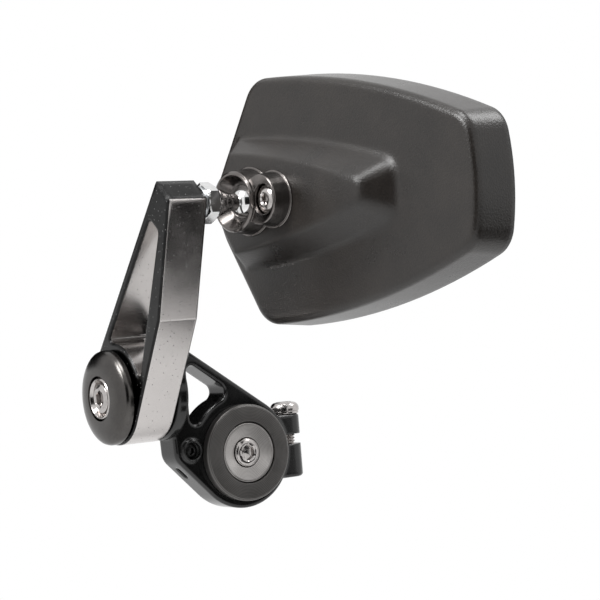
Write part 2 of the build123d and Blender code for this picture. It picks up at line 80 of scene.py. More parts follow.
class Body(Enum):
    """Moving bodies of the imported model."""

    BAR_END = "bar_end"
    BRACKET = "bracket"
    ARM = "arm"
    HEAD = "head"


class Pattern(Enum):
    """Ways in which a surface is broken up at close range."""

    GRAIN = "grain"
    PITS = "pits"
    RINGS = "rings"


def linear(colour: str) -> tuple[float, float, float, float]:
    """Turn an sRGB hex colour into linear RGBA.

    Args:
        colour: Six hex digits, with or without a leading mark.

    Returns:
        Linear red, green, blue and an alpha of 1.
    """
    digits = colour.lstrip("#")
    steps = np.array([int(digits[i:i + 2], 16) for i in (0, 2, 4)]) / 255.0
    low, high = steps / 12.92, ((steps + 0.055) / 1.055) ** 2.4
    return (*np.where(steps <= 0.04045, low, high).tolist(), 1.0)


def add_node(
    tree: Tree, kind: str, sockets: Mapping[Any, Any], out: Union[int, str] = 0, **settings: Any
) -> Union[Socket, None]:
    """Add a node, set its properties, and fill or link its inputs.

    Args:
        tree: Node tree that takes the node.
        kind: Blender's name for the node, without its leading ShaderNode.
        sockets: Input name or number to a plain value or to an output socket to link.
        out: Name or number of the output that is wanted.
        settings: Properties of the node itself.

    Returns:
        That output, or none where the node has no outputs.
    """
    node = tree.nodes.new(f"ShaderNode{kind}")
    for name, value in settings.items():
        setattr(node, name, value)
    for name, value in sockets.items():
        if isinstance(value, Socket):
            tree.links.new(value, node.inputs[name])
        else:
            node.inputs[name].default_value = value
    return node.outputs[out] if node.outputs else None


def blank(owner: Union[bpy.types.Material, bpy.types.World]) -> Tree:
    """Switch on and empty the nodes of a material or world.

    Args:
        owner: Material or world, newly made.

    Returns:
        Its node tree.
    """
    owner.use_nodes = True
    owner.node_tree.nodes.clear()
    return owner.node_tree


def add_object(name: str, data: bpy.types.ID) -> bpy.types.Object:
    """New object at the scene's origin that shows a mesh, lamp or camera."""
    bpy.context.scene.collection.objects.link(item := bpy.data.objects.new(name, data))
    return item


@dataclass(frozen=True)
class Finish:
    """A real surface: its two tones, its gloss and the pattern that breaks it up.

    The roughness drifts by `spread` either way, and edges look eased to `edge_mm`. Values that
    are not given are those of a plain turned metal.
    """

    name: str
    tone: str
    second_tone: str
    roughness: float
    metallic: float = 1.0
    spread: float = 0.05
    pattern: Pattern = Pattern.GRAIN
    pattern_mm: float = 0.5
    depth_mm: float = 0.004
    mottle_mm: float = 3.0
    ior: float = 1.5
    anisotropy: float = 0.0
    edge_mm: float = 0.0

    def relief(self, tree: Tree, where: Socket) -> Socket:
        """Height of the close pattern: moulded grain, foamed cells or turned rings.

        Args:
            tree: Node tree that takes the node.
            where: Coordinates in metres.

        Returns:
            A height from 0 to 1.
        """
        size = self.pattern_mm * MM
        if self.pattern is Pattern.RINGS:
            return add_node(
                tree, "TexWave",
                {"Vector": where, "Scale": FULL_TURN / (WAVE_RADIANS * size),
                 "Distortion": RING_WANDER},
                wave_type="RINGS", rings_direction="X", out="Fac",
            )
        if self.pattern is Pattern.PITS:
            return add_node(tree, "TexVoronoi", {"Vector": where, "Scale": 1.0 / size})
        return add_node(
            tree, "TexNoise", {"Vector": where, "Scale": 1.0 / size, "Detail": GRAIN_LAYERS}
        )

    def colour(self, tree: Tree, where: Socket, share: Socket) -> Socket:
        """Base colour, drifting between the two tones with the blotches and the close pattern."""
        tones = {"Factor": share, "A": linear(self.tone), "B": linear(self.second_tone)}
        return add_node(tree, "Mix", tones, data_type="RGBA", out="Result")

    def metal(self, tree: Tree, where: Socket) -> Union[float, Socket]:
        """Share of bare metal: the same all over unless a finish says otherwise."""
        return self.metallic

    def edge(self, tree: Tree, where: Socket) -> Union[float, Socket]:
        """Radius in metres to which edges look eased, the same all over in a plain finish."""
        return self.edge_mm * MM

    def make(self) -> bpy.types.Material:
        """Build the material.

        Returns:
            A material whose colour, roughness and normal come from its nodes.
        """
        material = bpy.data.materials.new(self.name)
        tree = blank(material)
        where = add_node(tree, "TexCoord", {}, out="Object")
        blotch = add_node(
            tree, "TexNoise",
            {"Vector": where, "Scale": 1.0 / (self.mottle_mm * MM), "Detail": BLOTCH_LAYERS},
        )
        height = self.relief(tree, where)
        both = add_node(tree, "Math", {0: blotch, 1: height}, operation="ADD")
        share = add_node(
            tree, "MapRange", {"Value": both, "From Min": SUM_RANGE[0], "From Max": SUM_RANGE[1]}
        )
        rough = add_node(
            tree, "MapRange",
            {"Value": blotch, "From Min": BLOTCH_RANGE[0], "From Max": BLOTCH_RANGE[1],
             "To Min": self.roughness - self.spread, "To Max": self.roughness + self.spread},
        )
        bump = {"Height": height, "Strength": 1.0, "Distance": self.depth_mm * MM}
        if self.edge_mm:
            radius = self.edge(tree, where)
            bump["Normal"] = add_node(tree, "Bevel", {"Radius": radius}, samples=EDGE_SAMPLES)
        surface = {
            "Base Color": self.colour(tree, where, share), "Metallic": self.metal(tree, where),
            "Roughness": rough, "IOR": self.ior, "Anisotropic": self.anisotropy,
            "Normal": add_node(tree, "Bump", bump),
        }
        if self.anisotropy:
            surface["Tangent"] = add_node(tree, "Tangent", {}, direction_type="RADIAL", axis="X")
        shader = add_node(tree, "BsdfPrincipled", surface)
        add_node(tree, "OutputMaterial", {"Surface": shader})
        return material


@dataclass(frozen=True)
class HousingFinish(Finish):
    """Moulded housing whose edges are eased more round the nose of its wedge."""

    nose_mm: Triple = (100.5, -0.1, 83.7)
    nose_edge_mm: float = 5.5
    near_mm: float = 12.0
    far_mm: float = 24.0

    def edge(self, tree: Tree, where: Socket) -> Socket:
        """Radius that falls from the nose's to the plain one with the distance from the nose."""
        away = add_node(
            tree, "VectorMath", {0: where, 1: tuple(value * MM for value in self.nose_mm)},
            operation="DISTANCE", out="Value",
        )
        return add_node(
            tree, "MapRange",
            {"Value": away, "From Min": self.near_mm * MM, "From Max": self.far_mm * MM,
             "To Min": self.nose_edge_mm * MM, "To Max": self.edge_mm * MM},
        )


@dataclass(frozen=True)
class CutPlateFinish(Finish):
    """Plate that is black on its broad faces and cut bright along its edge, with dust on both.

    Real dust is finer than the picture shows, so its specks are drawn about 0.4 mm wide.
    """

    cut_tone: str = "#c4c0be"
    middle_mm: float = -39.5
    half_mm: float = 7.5
    rim_mm: float = 1.4
    step_mm: float = 0.1
    end_axis: Triple = (0.66367, 0.0, 0.74802)
    end_mm: float = 100.05
    tip_edge_mm: float = 3.4
    dust_mm: float = 1.4
    dust_size: float = 0.14
    dust_core: float = 0.7
    dust_tone: str = "#6a6a6a"

    def reach(self, tree: Tree, where: Socket) -> Socket:
        """Distance along the axis of the tip's end, in metres."""
        return add_node(
            tree, "VectorMath", {0: where, 1: self.end_axis}, operation="DOT_PRODUCT", out="Value"
        )

    def faces(self, tree: Tree, where: Socket) -> Socket:
        """One on the broad faces and on the tip's end, zero on the cut edge between them.

        The faces are told by their distance from the middle plane, the end by its reach.

        Args:
            tree: Tree that takes the nodes.
            where: Coordinates in metres.

        Returns:
            The share of black.
        """
        depth = add_node(tree, "SeparateXYZ", {"Vector": where}, out="Y")
        off = add_node(tree, "Math", {0: depth, 1: self.middle_mm * MM}, operation="SUBTRACT")
        away = add_node(tree, "Math", {0: off}, operation="ABSOLUTE")
        rim = (self.half_mm - self.rim_mm / 2.0) * MM
        face = add_node(
            tree, "MapRange", {"Value": away, "From Min": rim, "From Max": rim + self.step_mm * MM}
        )
        end = add_node(
            tree, "MapRange",
            {"Value": self.reach(tree, where), "From Min": (self.end_mm - self.step_mm) * MM,
             "From Max": self.end_mm * MM},
        )
        return add_node(tree, "Math", {0: face, 1: end}, operation="MAXIMUM")

    def edge(self, tree: Tree, where: Socket) -> Socket:
        """Radius that grows towards the tip's end, where the plate's edge is worn."""
        start = self.end_mm - 2.0 * self.tip_edge_mm
        return add_node(
            tree, "MapRange",
            {"Value": self.reach(tree, where), "From Min": start * MM, "From Max": self.end_mm * MM,
             "To Min": self.edge_mm * MM, "To Max": self.tip_edge_mm * MM},
        )

    def dust(self, tree: Tree, where: Socket) -> Socket:
        """One in scattered specks of dust, zero between them."""
        cell = add_node(tree, "TexVoronoi", {"Vector": where, "Scale": 1.0 / (self.dust_mm * MM)})
        return add_node(
            tree, "MapRange",
            {"Value": cell, "From Min": self.dust_size * self.dust_core,
             "From Max": self.dust_size, "To Min": 1.0, "To Max": 0.0},
        )

    def colour(self, tree: Tree, where: Socket, share: Socket) -> Socket:
        """Black faces, pale cut edge and grey specks.

        Args:
            tree: Tree that takes the nodes.
            where: Coordinates in metres.
            share: Share of the second tone of black.

        Returns:
            The base colour.
        """
        black = super().colour(tree, where, share)
        plate = add_node(
            tree, "Mix",
            {"Factor": self.faces(tree, where), "A": linear(self.cut_tone), "B": black},
            data_type="RGBA", out="Result",
        )
        return add_node(
            tree, "Mix",
            {"Factor": self.dust(tree, where), "A": plate, "B": linear(self.dust_tone)},
            data_type="RGBA", out="Result",
        )

    def metal(self, tree: Tree, where: Socket) -> Socket:
        """Bare metal everywhere but in the specks."""
        fall = {"Value": self.dust(tree, where), "To Min": self.metallic, "To Max": 0.0}
        return add_node(tree, "MapRange", fall)


# Moulded plastic from a spark eroded mould: matt black with a fine even grain.
# The real grain is near 0.15 mm, too fine for the picture, so it is drawn at 0.6 mm.
MOULDED_PLASTIC = HousingFinish(
    "moulded_black_plastic", "#181513", "#26221f", metallic=0.0, roughness=0.29, spread=0.02,
    pattern_mm=0.6, depth_mm=0.1, mottle_mm=14.0, edge_mm=2.5,
)
# Aluminium plate, black on its faces: its cut edge mirrors the floor and the dark glowing sheets
# hung round it, which are painted reflections.
CUT_PLATE = CutPlateFinish(
    "cut_black_aluminium", "#242424", "#303030", roughness=0.2, spread=0.03, pattern_mm=1.4,
    mottle_mm=10.0, edge_mm=1.0,
)
# Cast aluminium under black stove enamel: deep black with clear, slightly wavy reflections.
BLACK_ENAMEL = Finish(
    "black_stove_enamel", "#101010", "#191919", metallic=0.0, roughness=0.15, spread=0.03,
    pattern_mm=3.0, depth_mm=0.01, mottle_mm=8.0, edge_mm=1.4,
)
# Aluminium, turned and anodised black: dark metal with a soft sheen.
BLACK_ANODISED = Finish(
    "black_anodised_aluminium", "#4a4847", "#565452", roughness=0.22, depth_mm=0.006,
    mottle_mm=5.0,
)
# Plastic, moulded bright and black chromed: a dark mirror with bright rims.
BLACK_GLOSS = Finish(
    "black_chromed_plastic", "#686462", "#74706e", roughness=0.18, spread=0.03, pattern_mm=2.0,
    depth_mm=0.006, mottle_mm=5.0, edge_mm=0.3,
)
# Aluminium, faced on the lathe and anodised grey: satin, with faint tool rings.
# Real tool rings lie near 0.15 mm apart, too close for the picture, here and on bare aluminium.
GREY_ANODISED = Finish(
    "grey_anodised_aluminium", "#464443", "#605e5c", metallic=0.5, roughness=0.42,
    pattern=Pattern.RINGS, mottle_mm=6.0, anisotropy=0.3,
)
# Bare aluminium, turned: rings that fan the light into two bright wings.
TURNED_ALUMINIUM = Finish(
    "turned_aluminium", "#8c8987", "#b4b1af", roughness=0.36, spread=0.04, pattern=Pattern.RINGS,
    pattern_mm=0.45, depth_mm=0.008, mottle_mm=4.0, anisotropy=0.9,
)
# Steel, polished and chromium plated: mirror bright with slight smears.
CHROME = Finish(
    "bright_chrome_plate", "#d8d8d8", "#e4e4e4", roughness=0.08, spread=0.03, pattern_mm=1.5,
    depth_mm=0.002,
)
# Stainless steel, cold headed and tumbled: grey metal with a soft polish.
STAINLESS = Finish(
    "tumbled_stainless_steel", "#a8a4a2", "#c0bcba", roughness=0.17, pattern_mm=1.0,
    depth_mm=0.006, mottle_mm=2.5,
)
# Steel, zinc plated: pale grey and a little cloudy.
ZINC = Finish(
    "zinc_plated_steel", "#a4a6a8", "#b2b4b6", roughness=0.3, spread=0.06, pattern_mm=0.6,
)
# Steel, oil blackened: near black with a dull sheen.
BLACK_STEEL = Finish("oil_black_steel", "#2a2a2a", "#383838", roughness=0.3)
# Moulded nitrile rubber: flat black with a dusty bloom.
RUBBER = Finish(
    "nitrile_rubber", "#1a1a1a", "#282828", metallic=0.0, roughness=0.72, spread=0.08,
    pattern_mm=0.4, depth_mm=0.02,
)
# Pressed fibre washer: flat dark grey.
FIBRE = Finish(
    "friction_fibre", "#2c2a28", "#3a3734", metallic=0.0, roughness=0.8, spread=0.06,
    pattern_mm=0.3, depth_mm=0.02, mottle_mm=2.0,
)
# Acetal, turned: milky white and waxy.
ACETAL = Finish("white_acetal", "#d4d2cc", "#dedcd6", metallic=0.0, roughness=0.36, ior=1.48)
# Brass, turned: warm yellow metal.
BRASS = Finish("turned_brass", "#b08d4a", "#bf9c58", roughness=0.28)
# Closed cell foam tape: soft black with fine cells.
FOAM = Finish(
    "black_foam_tape", "#1c1c1c", "#2a2a2a", metallic=0.0, roughness=0.85, pattern=Pattern.PITS,
    pattern_mm=0.7, depth_mm=0.05, mottle_mm=4.0,
)
# Float glass, silvered behind: a clear cool mirror.
SILVERED_GLASS = Finish(
    "silvered_glass", "#dce2e4", "#e4e8ea", roughness=0.02, spread=0.01, pattern_mm=30.0,
    depth_mm=0.0005, mottle_mm=40.0,
)


@dataclass
class Palette:
    """Materials made from the finishes, each one once."""

    made: dict[str, bpy.types.Material] = field(default_factory=dict)

    def get(self, finish: Finish) -> bpy.types.Material:
        """Material of a finish, built at its first use."""
        return self.made.get(finish.name) or self.made.setdefault(finish.name, finish.make())

    def dress(self, finishes: Mapping[str, Finish]) -> None:
        """Give CAD nodes that keep their own meshes a finished material.

        Args:
            finishes: Finish of each node.
        """
        for node, finish in finishes.items():
            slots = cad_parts[node].data.materials
            slots.clear()
            slots.append(self.get(finish))
            log.info("node %s dressed with %s", node, finish.name)


@dataclass(frozen=True)
class Place:
    """A point and two square directions that carry a turned piece.

    The piece stands along `axis`; angle zero points along `side`.
    """

    origin_mm: Triple
    axis: Triple
    side: Triple

    def lift(self, height: Array, radius: Array, angle: Array) -> Array:
        """Points at origin + height axis + radius (cos angle side + sin angle across), in metres.

        Args:
            height: Distance along the axis in millimetres.
            radius: Distance from the axis in millimetres.
            angle: Angle round the axis in radians.

        Returns:
            Points in the CAD frame, with a last axis of three.
        """
        height, radius, angle = np.broadcast_arrays(height, radius, angle)
        axis, side = np.array(self.axis), np.array(self.side)
        across = np.cross(axis, side)
        ring = np.cos(angle)[..., None] * side + np.sin(angle)[..., None] * across
        return (np.array(self.origin_mm) + height[..., None] * axis + radius[..., None] * ring) * MM

    def along(self, distance: float) -> "Place":
        """The same place moved along its axis."""
        moved = np.array(self.origin_mm) + distance * np.array(self.axis)
        return Place(tuple(moved.tolist()), self.axis, self.side)


def angles(count: int) -> Array:
    """Even angles round a full turn, without the last, as a row."""
    return np.linspace(0.0, FULL_TURN, count, endpoint=False)[None, :]


def rounded(corners: Sequence[tuple[float, float]], radius: float) -> Array:
    """Round every corner of a closed outline.

    Corner C becomes (1-t)^2 P + 2t(1-t) C + t^2 Q, where P and Q lie one radius from C
    along its two sides, or a little under half of a short side.

    Args:
        corners: Outline as (height, radius) pairs in millimetres.
        radius: Distance from each corner at which the curve starts.

    Returns:
        The rounded outline, one row per point.
    """
    corner = np.asarray(corners, float)
    back, ahead = np.roll(corner, 1, 0) - corner, np.roll(corner, -1, 0) - corner
    back_length = np.linalg.norm(back, axis=1, keepdims=True)
    ahead_length = np.linalg.norm(ahead, axis=1, keepdims=True)
    start = corner + back / back_length * np.minimum(radius, SIDE_SHARE * back_length)
    end = corner + ahead / ahead_length * np.minimum(radius, SIDE_SHARE * ahead_length)
    t = np.linspace(0.0, 1.0, CURVE_STEPS)[None, :, None]
    curve = (1 - t) ** 2 * start[:, None] + 2 * t * (1 - t) * corner[:, None] + t**2 * end[:, None]
    return curve.reshape(-1, 2)


def turned(place: Place, outline: Array, around: int = 200) -> Array:
    """Carry an outline of (height, radius) rows round the place's axis: outline by angle."""
    return place.lift(outline[:, :1], outline[:, 1:], angles(around))


def hexagon(angle: Array, flats: float) -> Array:
    """Radius of a hexagon: half its flats over the cosine of the angle from the nearest flat."""
    sixth = FULL_TURN / 6.0
    return flats / 2.0 / np.cos(np.mod(angle + sixth / 2.0, sixth) - sixth / 2.0)


def skin(name: str, grid: Array, loop: bool) -> bpy.types.Mesh:
    """Skin a grid of points that closes round its second parameter.

    Point (i, j) is joined to (i + 1, j) and (i, j + 1). A loop also joins the last row to the
    first; otherwise a fan to the row's mean point shuts each end.

    Args:
        name: Name of the mesh.
        grid: Points by row and column.
        loop: True if the rows close as well.

    Returns:
        A closed mesh with its faces outwards.
    """
    rows, columns = grid.shape[:2]
    index = np.arange(rows * columns).reshape(rows, columns)
    low, high = (index, np.roll(index, -1, axis=0)) if loop else (index[:-1], index[1:])
    ring = (low, np.roll(low, -1, axis=1), np.roll(high, -1, axis=1), high)
    quads = np.stack(ring, axis=-1).reshape(-1, 4)
    points, faces = grid.reshape(-1, 3), quads.tolist()
    corner = np.concatenate((quads[:, [0, 1, 2]], quads[:, [0, 2, 3]]))
    if not loop:
        tips = np.full(columns, len(points)), np.full(columns, len(points) + 1)
        first = np.stack((np.roll(index[0], -1), index[0], tips[0]), axis=-1)
        last = np.stack((index[-1], np.roll(index[-1], -1), tips[1]), axis=-1)
        points = np.concatenate((points, grid[[0, -1]].mean(axis=1)))
        faces += first.tolist() + last.tolist()
        corner = np.concatenate((corner, first, last))
    a, b, c = (points[corner[:, k]] for k in range(3))
    if np.einsum("ij,ij->i", a, np.cross(b, c)).sum() < 0.0:
        faces = [face[::-1] for face in faces]
    mesh = bpy.data.meshes.new(name)
    mesh.from_pydata(points.tolist(), [], faces)
    mesh.shade_smooth()
    mesh.set_sharp_from_angle(angle=math.radians(CREASE_DEG))
    mesh.update()
    return mesh


@dataclass
class Assembly:
    """What every sub-assembly shares: its materials and the way a new piece is put in."""

    palette: Palette

    def put(
        self, node: str, grid: Array, loop: bool, body: Body, slot: str, finish: Finish
    ) -> None:
        """Skin a grid and put it in place of a CAD node.

        Args:
            node: CAD node that the piece stands for.
            grid: Points by row and column.
            loop: True if the rows close as well as the columns.
            body: Body that carries the piece.
            slot: Material slot of the record. Not used.
            finish: Surface of the piece.
        """
        mesh = skin(f"{node}_detail", grid, loop)
        piece = add_object(mesh.name, mesh)
        mesh.materials.append(self.palette.get(finish))
        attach(piece, body.value)
        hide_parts(node)
        log.info("piece %s rides on %s: %d faces", piece.name, body.value, len(mesh.polygons))


@dataclass(frozen=True)
class SocketScrew:
    """A screw with a rounded head and a hexagon socket, in millimetres from its seat.

    `thread` and `head` are radii, `key` is the socket across its flats, and `fall` is how far
    the head's face drops from the socket to its round. `groove` and `point` are in pitches.
    """

    place: Place
    thread: float
    reach: float
    head: float
    height: float
    crown: float
    key: float
    fall: float = 0.0
    key_depth: float = 2.2
    pitch: float = 1.0
    chamfer: float = 0.35
    edge: float = 0.15
    plain_pitches: float = 1.0
    rows_per_pitch: int = 12
    groove: float = 0.55
    trim: float = 0.125
    point: float = 0.7
    curve_rows: int = 9
    drill_depth: float = 0.15
    drill_width: float = 0.2

    def shank(self, angle: Array) -> tuple[Array, Array]:
        """Heights and radii of the threaded shank, from its tip to its seat.

        The shank is a cylinder less a groove that climbs one pitch a turn: the cut is a triangle
        wave of height / pitch - angle / turn, stretched by the trim at each end and then held
        flat at crest and root. It fades out at the seat, and the tip is a cone.

        Args:
            angle: Angles round the axis, as a row.

        Returns:
            A column of heights, and the radius at each height and angle.
        """
        rows = int(self.reach / self.pitch * self.rows_per_pitch)
        height = np.linspace(-self.reach, 0.0, rows)[:, None]
        wave = 1.0 - np.abs(2.0 * np.mod(height / self.pitch - angle / FULL_TURN, 1.0) - 1.0)
        cut = np.clip((1.0 + 2.0 * self.trim) * wave - self.trim, 0.0, 1.0)
        fade = np.clip(-height / self.pitch - self.plain_pitches, 0.0, 1.0)
        tip = 1.0 - np.clip((height + self.reach) / self.pitch, 0.0, 1.0)
        depth = np.maximum(self.groove * cut * fade, self.point * tip) * self.pitch
        return height, self.thread - depth

    def top(self) -> Array:
        """Outline of the head from its seat to the rim of its socket.

        A short chamfer, a plain side, a quarter round, and a face that falls off from the rim by
        the square of the distance.

        Returns:
            One (height, radius) row per point.
        """
        rim = self.key / math.sqrt(3.0) + self.chamfer
        level, inner = self.height - self.fall, self.head - self.crown
        quarter = np.linspace(0.0, math.pi / 2.0, self.curve_rows)
        round_off = np.stack((level - self.crown + self.crown * np.sin(quarter),
                              inner + self.crown * np.cos(quarter)), axis=-1)
        t = np.linspace(0.0, 1.0, self.curve_rows)[1:]
        face = np.stack((level + self.fall * (1.0 - (1.0 - t) ** 2),
                         inner + (rim - inner) * t), axis=-1)
        foot = np.array([[0.0, self.head - self.edge], [self.edge, self.head]])
        return np.concatenate((foot, round_off, face))

    def points(self) -> Array:
        """Grid of the whole screw, from its tip to the floor of its socket.

        Returns:
            A grid of points, row by angle.
        """
        angle = angles(SCREW_AROUND)
        shank_height, shank_radius = self.shank(angle)
        top = self.top()
        wall = hexagon(angle, self.key)
        depth = self.height - self.key_depth
        socket_height = np.array([
            [self.height - self.chamfer], [depth], [depth - self.drill_depth * self.key],
        ])
        socket_radius = np.concatenate((wall, wall, self.drill_width * wall))
        side = np.repeat(top[:, 1:], SCREW_AROUND, axis=1)
        height = np.concatenate((shank_height, top[:, :1], socket_height))
        return self.place.lift(height, np.concatenate((shank_radius, side, socket_radius)), angle)


def low_screw(place: Place, reach: float) -> SocketScrew:
    """Screw with a low, slightly crowned head, as in the bar's end and in the pivot."""
    return SocketScrew(place, M6, reach, M6_HEAD, height=3.0, crown=0.4, key=5.0, fall=0.5)


OUT, FORWARD, UP = (1.0, 0.0, 0.0), (0.0, -1.0, 0.0), (0.0, 0.0, 1.0)
BACK = (0.0, 1.0, 0.0)
BAR_AXIS = Place((0.0, 0.0, 0.0), OUT, BACK)


@dataclass
class BarEnd(Assembly):
    """Plug in the handlebar's end: flange and barrel, dished washer, screw, bush and nut.

    Backs, fronts and seats are heights along the bar's axis, and the rest are radii or steps.
    """

    flange_back: float = 11.6
    flange_front: float = 15.2
    flange: float = 17.0
    flange_edge: float = 0.8
    barrel: float = 14.0
    bore: float = 3.25
    dish: float = 10.6
    dish_back: float = 9.6
    dish_front: float = 14.8
    dish_edge: float = 0.4
    dish_rim: float = 1.0
    dish_fall: float = 1.3
    seat: float = 11.4
    bush: float = 7.2
    bush_back: float = -14.0
    nut_back: float = -20.0
    nut_bore: float = 3.05
    nut_taper: float = 0.8
    gap: float = 0.25
    ease: float = 0.3
    dish_ease: float = 0.2
    bush_ease: float = 0.5

    def adapter(self) -> Array:
        """Flange and barrel: a stepped outline turned about the bar's axis, every edge eased."""
        recess = self.dish + self.gap
        return turned(BAR_AXIS, rounded([
            (0.0, self.bore), (0.0, self.barrel), (self.flange_back, self.barrel),
            (self.flange_back, self.flange), (self.flange_front - self.flange_edge, self.flange),
            (self.flange_front, self.flange - self.flange_edge), (self.flange_front, recess),
            (self.dish_back, recess), (self.dish_back, self.bore),
        ], self.ease), FINE_AROUND)

    def dished_washer(self) -> Array:
        """Turned cone with a raised rim, falling towards the screw's head."""
        front, hole = self.dish_front, M6_HEAD + self.gap
        return turned(BAR_AXIS, rounded([
            (self.dish_back, self.bore), (self.dish_back, self.dish),
            (front - self.dish_edge, self.dish), (front, self.dish - self.dish_edge),
            (front, self.dish - self.dish_rim), (front - self.dish_fall, hole),
            (self.seat, hole), (self.seat, self.bore),
        ], self.dish_ease))

    def bush_sleeve(self) -> Array:
        """Rubber sleeve with eased ends."""
        return turned(BAR_AXIS, rounded([
            (self.bush_back, self.bore), (self.bush_back, self.bush),
            (0.0, self.bush), (0.0, self.bore),
        ], self.bush_ease))

    def nut(self) -> Array:
        """Tapered nut behind the bush."""
        return turned(BAR_AXIS, rounded([
            (self.nut_back, self.nut_bore), (self.nut_back, self.bush - self.nut_taper),
            (self.bush_back, self.bush), (self.bush_back, self.nut_bore),
        ], self.ease))

    def screw(self) -> SocketScrew:
        """Low headed screw from the dished washer to the nut's end."""
        return low_screw(BAR_AXIS.along(self.seat), self.seat - self.nut_back)

    def build(self) -> None:
        """Build and dress the plug's pieces."""
        for node, grid, loop, slot, finish in (
            ("bar_end_adapter", self.adapter(), True, "grey_anodised", GREY_ANODISED),
            ("dished_washer", self.dished_washer(), True, "turned_aluminium", TURNED_ALUMINIUM),
            ("expander_bush", self.bush_sleeve(), True, "rubber", RUBBER),
            ("expander_nut", self.nut(), True, "zinc_steel", ZINC),
            ("expander_screw", self.screw().points(), False, "bright_chrome", STAINLESS),
        ):
            self.put(node, grid, loop, Body.BAR_END, slot, finish)


@dataclass
class Bracket(Assembly):
    """Clamp casting with its pinch screw, set screw and the pivot's stack."""

    pivot: Place = Place((6.0, -47.8, 23.7), FORWARD, OUT)
    cap: float = 16.2
    cap_rim: float = 1.6
    cap_dome: float = 3.4
    dome_power: float = 2.1
    dome_rows: int = 28
    cup: float = 7.4
    cup_depth: float = 3.9
    cup_slope: float = 0.8
    bore: float = 3.25
    seam: float = 0.3
    gap: float = 0.25
    ease: float = 0.25
    pivot_reach: float = 28.95
    washer: float = 5.0
    washer_thickness: float = 1.0
    set_screw_head: float = 0.6

    def cap_shell(self) -> Array:
        """Domed cap: an eased rim, a dome that rises as a flattened arc, and the seat of the cup.

        The dome's height over its rim is the root of 1 - (1 - t)^power, where t runs from the
        rim to the cup.

        Returns:
            A grid of points, outline by angle.
        """
        full, inner = self.cap_rim + self.cap_dome, self.cup + self.seam
        t = np.linspace(0.0, 1.0, self.dome_rows)
        rise = np.sqrt(1.0 - (1.0 - t) ** self.dome_power)
        dome = np.stack((self.cap_rim + self.cap_dome * rise,
                         self.cap + (inner - self.cap) * t), axis=-1)
        floor = full - self.cup_depth
        foot = np.array([[floor, inner], [floor, self.bore], [0.0, self.bore],
                         [0.0, self.cap - self.seam], [self.seam, self.cap]])
        return turned(self.pivot, np.concatenate((dome, foot)), FINE_AROUND)

    def cup_place(self) -> Place:
        """Floor of the cup in the cap."""
        return self.pivot.along(self.cap_rim + self.cap_dome - self.cup_depth)

    def cup_washer(self) -> Array:
        """Cup washer: a bright cone round the screw's head."""
        return turned(self.cup_place(), rounded([
            (0.0, self.bore), (0.0, self.cup), (self.cup_depth - self.cup_slope, self.cup),
            (self.cup_depth, self.cup - self.cup_slope), (self.cup_slope, M6_HEAD + self.gap),
            (self.cup_slope, self.bore),
        ], self.ease))

    def pivot_screw(self) -> SocketScrew:
        """Low headed screw through cap, arm and boss."""
        return low_screw(self.cup_place().along(self.cup_slope), self.pivot_reach)

    def pinch_place(self) -> Place:
        """Top of the upper ear, under the pinch screw's washer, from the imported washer's box.

        Returns:
            The washer's seat.
        """
        low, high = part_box("pinch_washer")
        middle = (low + high) / 2.0 / MM
        return Place((middle.x, middle.y, low.z / MM), UP, OUT)

    def pinch_washer(self) -> Array:
        """Flat washer with eased edges, turned about the pinch screw's axis.

        Returns:
            A grid of points, row by angle.
        """
        top, bore, rim = self.washer_thickness, self.bore, self.washer
        corners = [(0.0, bore), (0.0, rim), (top, rim), (top, bore)]
        return turned(self.pinch_place(), rounded(corners, self.ease))

    def pinch_screw(self) -> SocketScrew:
        """Round headed screw through both ears, with its thread showing in the slit.

        Returns:
            The screw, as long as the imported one.
        """
        low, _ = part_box("pinch_screw")
        place = self.pinch_place().along(self.washer_thickness)
        return SocketScrew(
            place, M6, place.origin_mm[2] - low.z / MM, head=5.25, height=3.3, crown=2.3, key=4.0,
            fall=0.1, plain_pitches=3.0,
        )

    def set_screw(self) -> SocketScrew:
        """Headless screw in the lobe: its front is a chamfered end with a small socket.

        Returns:
            The screw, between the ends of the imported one.
        """
        low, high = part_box("bracket_set_screw")
        middle, front = (low + high) / 2.0 / MM, self.set_screw_head
        place = Place((high.x / MM - front, middle.y, middle.z), OUT, BACK)
        return SocketScrew(
            place, M5, (high.x - low.x) / MM - front, head=M5, height=front, crown=0.5, key=2.5,
            key_depth=2.0, pitch=0.8, chamfer=0.15, edge=0.05,
        )

    def build(self) -> None:
        """Build and dress the bracket's pieces."""
        for node, grid, loop, slot, finish in (
            ("pivot_cap", self.cap_shell(), True, "black_anodised", BLACK_ANODISED),
            ("pivot_cup_washer", self.cup_washer(), True, "bright_chrome", STAINLESS),
            ("pivot_screw", self.pivot_screw().points(), False, "bright_chrome", STAINLESS),
            ("pinch_washer", self.pinch_washer(), True, "bright_chrome", STAINLESS),
            ("pinch_screw", self.pinch_screw().points(), False, "bright_chrome", STAINLESS),
            ("bracket_set_screw", self.set_screw().points(), False, "black_steel", BLACK_STEEL),
        ):
            self.put(node, grid, loop, Body.BRACKET, slot, finish)
        self.palette.dress({
            "clamp_bracket": BLACK_ENAMEL, "pivot_spacer": ZINC,
            "inner_friction_washer": FIBRE, "outer_friction_washer": FIBRE,
        })


